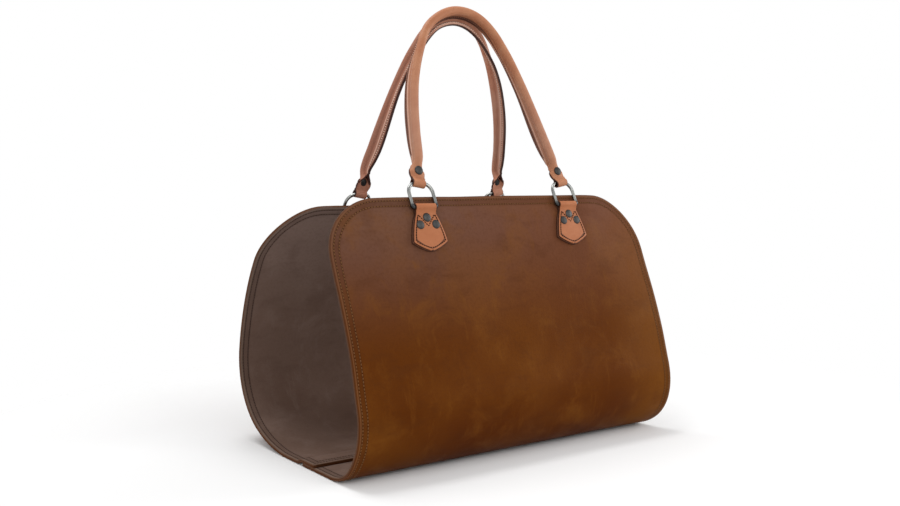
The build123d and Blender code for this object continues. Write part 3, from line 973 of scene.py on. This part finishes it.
# %% The strip's route: up one leg, over the top, down the other
CORE, ROLL_START, HEIGHT, APEX = 0.0036, 0.040, 0.249, 0.065
ROLL = CORE + STRAP / 2
roll_across = leg_across(ROLL_START)
roll_rise = HEIGHT - APEX - ROLL_START
facing = roll_across * math.cos(LEG_LEAN) - roll_rise * math.sin(LEG_LEAN) - APEX
leg_radius = (roll_across**2 + roll_rise**2 - APEX**2) / (2 * facing)
top_lean = math.asin((roll_rise + leg_radius * math.sin(LEG_LEAN)) / (leg_radius - APEX))
leg_turn = math.degrees(top_lean - LEG_LEAN)
foot_run = ROLL_START / math.cos(LEG_LEAN)
ROUTE = Course(
    (leg_across(0), 0.0), 90 + math.degrees(LEG_LEAN), (foot_run,), (leg_radius, leg_turn),
    (APEX, 180 - 2 * math.degrees(top_lean)), (leg_radius, leg_turn), (foot_run,),
)
print("a handle's route is", round(ROUTE.length, 4), "m from ring to ring")

# %% [markdown]
# The real rolls are soft. Both handles stand a little wider than an even arch and bow toward each
# other half-way up, and their flange is widest along the legs. These numbers, in millimetres and
# degrees at heights above the bow of the ring, add that to the even route.

# %% How far a handle stands from its even route
LEG_HEIGHTS = np.array([17, 30, 70, 110, 150, 190, 225, 249]) * 0.001
REACH_HEIGHTS, TURN_HEIGHTS = (0.026, 0.050, 0.150, 0.240), (0.030, 0.060, 0.190, HEIGHT)
WIDER = {"front": (0, -0.9, 0.6, 3.3, 5.9, 6.1, 3.6, 0), "back": (0, 0.8, 1.6, 2.3, 2.4, 1.5, -2.0, -1.0)}
INWARD = {"front": (0, -0.4, 3.3, 6.8, 8.6, 7.9, 6.5, 1.8), "back": (0, -2.6, 3.2, 8.2, 11.0, 12.4, 12.2, 10.0)}
FLANGE_TURN = {"front": (0, 0, 0, 30), "back": (0, 5.5, 5.5, 55)}
FLANGE_REACH = {"front": (13.4, 18.2, 18.2, 12.5), "back": (13.4, 18.2, 17.8, 11.5)}
TALLER, ARCH_HEIGHTS = {"front": 0.0, "back": 0.0020}, (0.12, HEIGHT)


def reach(name, up):
    """How far the flange's edge is from the middle of the cord."""
    return through(up, REACH_HEIGHTS, FLANGE_REACH[name]) * 0.001


def leg_spot(name, along):
    (x, up), _ = ROUTE.at(along)
    wider, inward = (through(up, LEG_HEIGHTS, table[name]) * 0.001 for table in (WIDER, INWARD))
    return HANDLES[name].point(x + wider, up + TALLER[name] * ease(up, *ARCH_HEIGHTS), -inward), up


def leg(name, along):
    """A place on the middle line of the leg at positive X, its height, and the across and outward
    directions of the strip's section there."""
    here, up = leg_spot(name, along)
    ahead = unit(leg_spot(name, along + 0.0006)[0] - leg_spot(name, along - 0.0006)[0])
    out = HANDLES[name].out
    out = unit(out - ahead * (out @ ahead))
    across = np.cross(ahead, out) * -SIDES[name]
    turn = math.radians(through(up, TURN_HEIGHTS, FLANGE_TURN[name]))
    return here, up, across * math.cos(turn) - out * math.sin(turn), out * math.cos(turn) + across * math.sin(turn)


# %% The cross-section at any place
CROOK, CROOK_RADIUS, SECTION_STEPS, STRIP_COLUMNS = math.radians(152.4), 0.002, 400, 61
bent = ROLL * CROOK
eased = bent + CROOK_RADIUS * (CROOK - math.pi / 2)


def summed(values, step):
    return np.concatenate([[0], np.cumsum((values[1:] + values[:-1]) / 2 * step)])


def section(half, curl, level):
    """Places across, out and on the flat cut, for a strip of that half width whose middle is level
    above the cord's middle. Curl goes from 0, flat, to 1, rolled."""
    fine = np.linspace(0, half, SECTION_STEPS)
    heading = np.where(fine < eased, CROOK - (fine - bent) / CROOK_RADIUS, math.pi / 2)
    heading = np.where(fine < bent, fine / ROLL, heading) * curl
    across, sunk = (summed(wave(heading), half / (SECTION_STEPS - 1)) for wave in (np.cos, np.sin))
    flat = np.linspace(-1, 1, STRIP_COLUMNS) * half
    return np.interp(np.abs(flat), fine, across) * np.sign(flat), level - np.interp(np.abs(flat), fine, sunk), flat


NECK_HALF, NECK_HOLLOW, NECK_LEVEL, TAIL_TOP, FLANGE_START = 0.0094, 0.26, 0.0012, 0.0235, 0.0059
LOWER = {"front": 0.0045, "back": 0.0075}


def neck_curl(up):
    """A neck is already slightly hollow above the ring, and closes into the roll over the rivet."""
    return NECK_HOLLOW * ease(up, 0.003, 0.016) + (1 - NECK_HOLLOW) * ease(up, 0.018, 0.035)


def strip_state(name, up):
    """Half width, curl and level of the strip at a height above the bow. The neck widens up to the
    rivet and is pinched over it."""
    pinch = 0.0012 * ease(up, 0.016, 0.020) * (1 - ease(up, 0.022, 0.032))
    neck = NECK_HALF + 0.0028 * np.clip((up - 0.003) / 0.013, 0, 1) - pinch
    rolled = ease(up + LOWER[name], 0.0235, 0.039)
    half = neck + (eased + reach(name, up) - FLANGE_START - neck) * rolled
    level = NECK_LEVEL + (ROLL - NECK_LEVEL) * ease(up, 0.020, 0.037)
    return half - STRAP_RIM, neck_curl(up + LOWER[name]), level


# %% The whole strip as one grid
NECK_BEND = 0.006
neck_turn = math.degrees(math.acos(1 - (BOW_TUNNEL - 0.0001) / (BOW_TUNNEL + NECK_BEND)))
neck_rise = (BOW_TUNNEL + NECK_BEND) * math.sin(math.radians(neck_turn))
side_turn = (NECK_BEND - STRAP / 2, -neck_turn)
LOOP = Course(
    (-NECK_LEVEL, TAIL_TOP), -90,
    (TAIL_TOP - neck_rise,), side_turn, (BOW_TUNNEL + STRAP / 2, 180 + 2 * neck_turn), side_turn,
)


def strip_rows(name):
    """The rows of half a strip, from the end of its tail to the top of the arch: points, places on
    the flat cut, how far the row is sewn, and how far from closed it is."""
    for along in np.linspace(0.0, LOOP.length, 50):
        (out, up), _ = LOOP.at(along)
        half = NECK_HALF + 0.0024 * ease(up, 0.003, 0.014)
        if along < LOOP.lengths[0]:
            half *= math.sqrt(max(1 - ease(up, 0.0155, TAIL_TOP) ** 2 * 0.85, 0.05))
        here, _, across, outward = leg(name, up)
        a, o, flat = section(half - STRAP_RIM, min(neck_curl(up), NECK_HOLLOW), 0.0)
        yield here + HANDLES[name].out * out + np.outer(a, across) + np.outer(o, outward), flat, along, 0.0, 1.0
    for along in [*np.linspace(neck_rise, 0.052, 56)[1:], *np.linspace(0.052, ROUTE.length / 2, 84)[1:]]:
        here, up, across, outward = leg(name, along)
        half, curl, level = strip_state(name, up)
        a, o, flat = section(half, curl, level)
        points = here + np.outer(a, across) + np.outer(o, outward)
        yield points, flat, LOOP.length + along - neck_rise, ease(up, 0.036, 0.042), 1 - curl


def handle_mesh(name):
    grid, cut, border, beyond = [], [], [], []
    for points, flat, along, sewn, opened in strip_rows(name):
        grid.append(points)
        cut.append(np.stack([flat, np.full(STRIP_COLUMNS, along)], -1))
        border.append((flat.max() - np.abs(flat)) * sewn + (1 - sewn))
        beyond.append(np.abs(flat) - eased - opened * 0.02)
    sheets = [np.array(values) for values in (grid, cut, border, beyond)]
    others = [values[-2::-1].copy() for values in sheets]
    others[0] *= (-1, 1, 1)
    others[1][..., 1] = 2 * sheets[1][-1, 0, 1] - others[1][..., 1]
    way = 1 if name == "front" else -1
    grid, cut, border, beyond = (np.concatenate(pair)[:, ::way] for pair in zip(sheets, others))
    return leather_mesh(f"{name}_handle", grid, cut, STRAP, STRAP_RIM, {"border": border, "beyond": beyond})


for name in COURSES:
    nodes = [f"{name}_handle_cover"]
    place(handle_mesh(name), f"{name}_handle_leather", f"{name}_handle", "tan_leather", nodes, handle_tan[name])

# %% The cord inside each roll
CORD_AROUND = 14
turns = np.arange(CORD_AROUND) * 2 * math.pi / CORD_AROUND
for name in COURSES:
    rings = []
    for along in np.linspace(ROLL_START - 0.004, ROUTE.length / 2, 70):
        here, _, across, out = leg(name, along)
        rings.append(here + (np.outer(np.cos(turns), across) + np.outer(np.sin(turns), out)) * (CORE - 0.0002))
    rings += [ring * (-1, 1, 1) for ring in rings[-2::-1]]
    faces = tube_faces(len(rings), CORD_AROUND, False)
    if name == "front":
        faces = [face[::-1] for face in faces]
    mesh = smooth_mesh(f"{name}_cord", np.concatenate(rings).tolist(), faces)
    place(mesh, f"{name}_cotton_cord", f"{name}_handle", "cord", [f"{name}_handle_core"], cord_finish)

# %% The seam along each flange, on both of its sides
for name in COURSES:
    paths = []
    for side in (-1, 1):
        run, outs = [], []
        for along in np.arange(0.046, ROUTE.length / 2, 0.002):
            here, up, across, out = leg(name, along)
            run.append(here + across * side * (STRAP + 0.0001) - out * (reach(name, up) - SEAM_INSET))
            outs.append(across * side)
        run, outs = (half + [spot * (-1, 1, 1) for spot in half[::-1]] for half in (run, outs))
        paths.append((run, outs, False))
    sew(f"{name}_handle_seams", paths, f"{name}_handle", "tan_leather", handle_thread[name], *HANDLE_STITCH)

# %% [markdown]
# ## Floor, light and camera
#
# The carrier stands on a white floor that fades into a white room, so only its soft shadow shows.
# Camera, glossy and transmission rays see plain white. The light is a weaker even sky and four
# large soft lamps, at a level where a colour looks as it is written.

# %% The floor
floor_mesh = bpy.data.meshes.new("floor")
floor_mesh.from_pydata([(-6, -6, 0), (6, -6, 0), (6, 6, 0), (-6, 6, 0)], [], [(0, 1, 2, 3)])
floor = bpy.data.objects.new("floor", floor_mesh)
floor.location.z = -0.0004
bpy.context.scene.collection.objects.link(floor)
floor_paint, tree = material("floor_white")
distance = tree.add("ShaderNodeVectorMath", {"operation": "LENGTH"}, {0: object_place(tree)}, output=1)
chalk = tree.add("ShaderNodeBsdfDiffuse", {}, {"Color": (0.95, 0.95, 0.95, 1), "Roughness": 0.5})
clear = tree.add("ShaderNodeBsdfTransparent")
faded = tree.add("ShaderNodeMixShader", {}, {0: distance.between(0.40, 0.90), 1: chalk, 2: clear})
tree.add("ShaderNodeOutputMaterial", {}, {"Surface": faded})
floor_mesh.materials.append(floor_paint)

# %% The room and the lamps
world = bpy.data.worlds.new("white_room")
bpy.context.scene.world = world
world.use_nodes = True
world.node_tree.nodes.clear()
room = Tree(world.node_tree)
camera_ray, glossy_ray, transmission_ray = (room.add("ShaderNodeLightPath", {}, output=k) for k in (0, 3, 6))
seen = camera_ray.math("MAXIMUM", glossy_ray).math("MAXIMUM", transmission_ray)
sky, white = (room.add("ShaderNodeBackground", {}, {"Color": (1, 1, 1, 1), "Strength": k}) for k in (0.55, 1.0))
room.add("ShaderNodeOutputWorld", {}, {0: room.add("ShaderNodeMixShader", {}, {0: seen, 1: sky, 2: white})})

for name, spot, aim_height, size, power in (
    ("top_lamp", (-0.4, 0.5, 2.3), 0.1, 1.3, 25),
    ("front_lamp", (0.3, -2.3, 1.4), 0.2, 1.3, 12),
    ("right_lamp", (1.9, -0.9, 0.8), 0.2, 1.2, 17),
    ("left_lamp", (-1.9, -1.0, 1.0), 0.2, 1.2, 5),
):
    light = bpy.data.lights.new(name, "AREA")
    light.shape, light.size, light.energy = "DISK", size, power
    stand = bpy.data.objects.new(name, light)
    bpy.context.scene.collection.objects.link(stand)
    stand.location = spot
    stand.rotation_euler = (Vector((0, 0, aim_height)) - Vector(spot)).to_track_quat("-Z", "Y").to_euler()

# %% The camera, at the photograph's place
AZIMUTH, ELEVATION = math.radians(-36.22), math.radians(6.711)
camera_data = bpy.data.cameras.new("camera")
camera_data.sensor_width, camera_data.lens = 36, 40.566
camera_data.shift_x, camera_data.shift_y = -0.01502, 0.05036
camera = bpy.data.objects.new("camera", camera_data)
bpy.context.scene.collection.objects.link(camera)
level = Vector((math.sin(AZIMUTH), -math.cos(AZIMUTH), 0)) * math.cos(ELEVATION)
back_way = level + Vector((0, 0, math.sin(ELEVATION)))
right_way = Vector((0, 0, 1)).cross(back_way).normalized()
turned = Matrix((right_way, back_way.cross(right_way), back_way)).transposed().to_4x4()
camera.matrix_world = Matrix.Translation((-0.8479, -1.1719, 0.36885)) @ turned
bpy.context.scene.camera = camera
bpy.context.scene.view_settings.view_transform = "Standard"
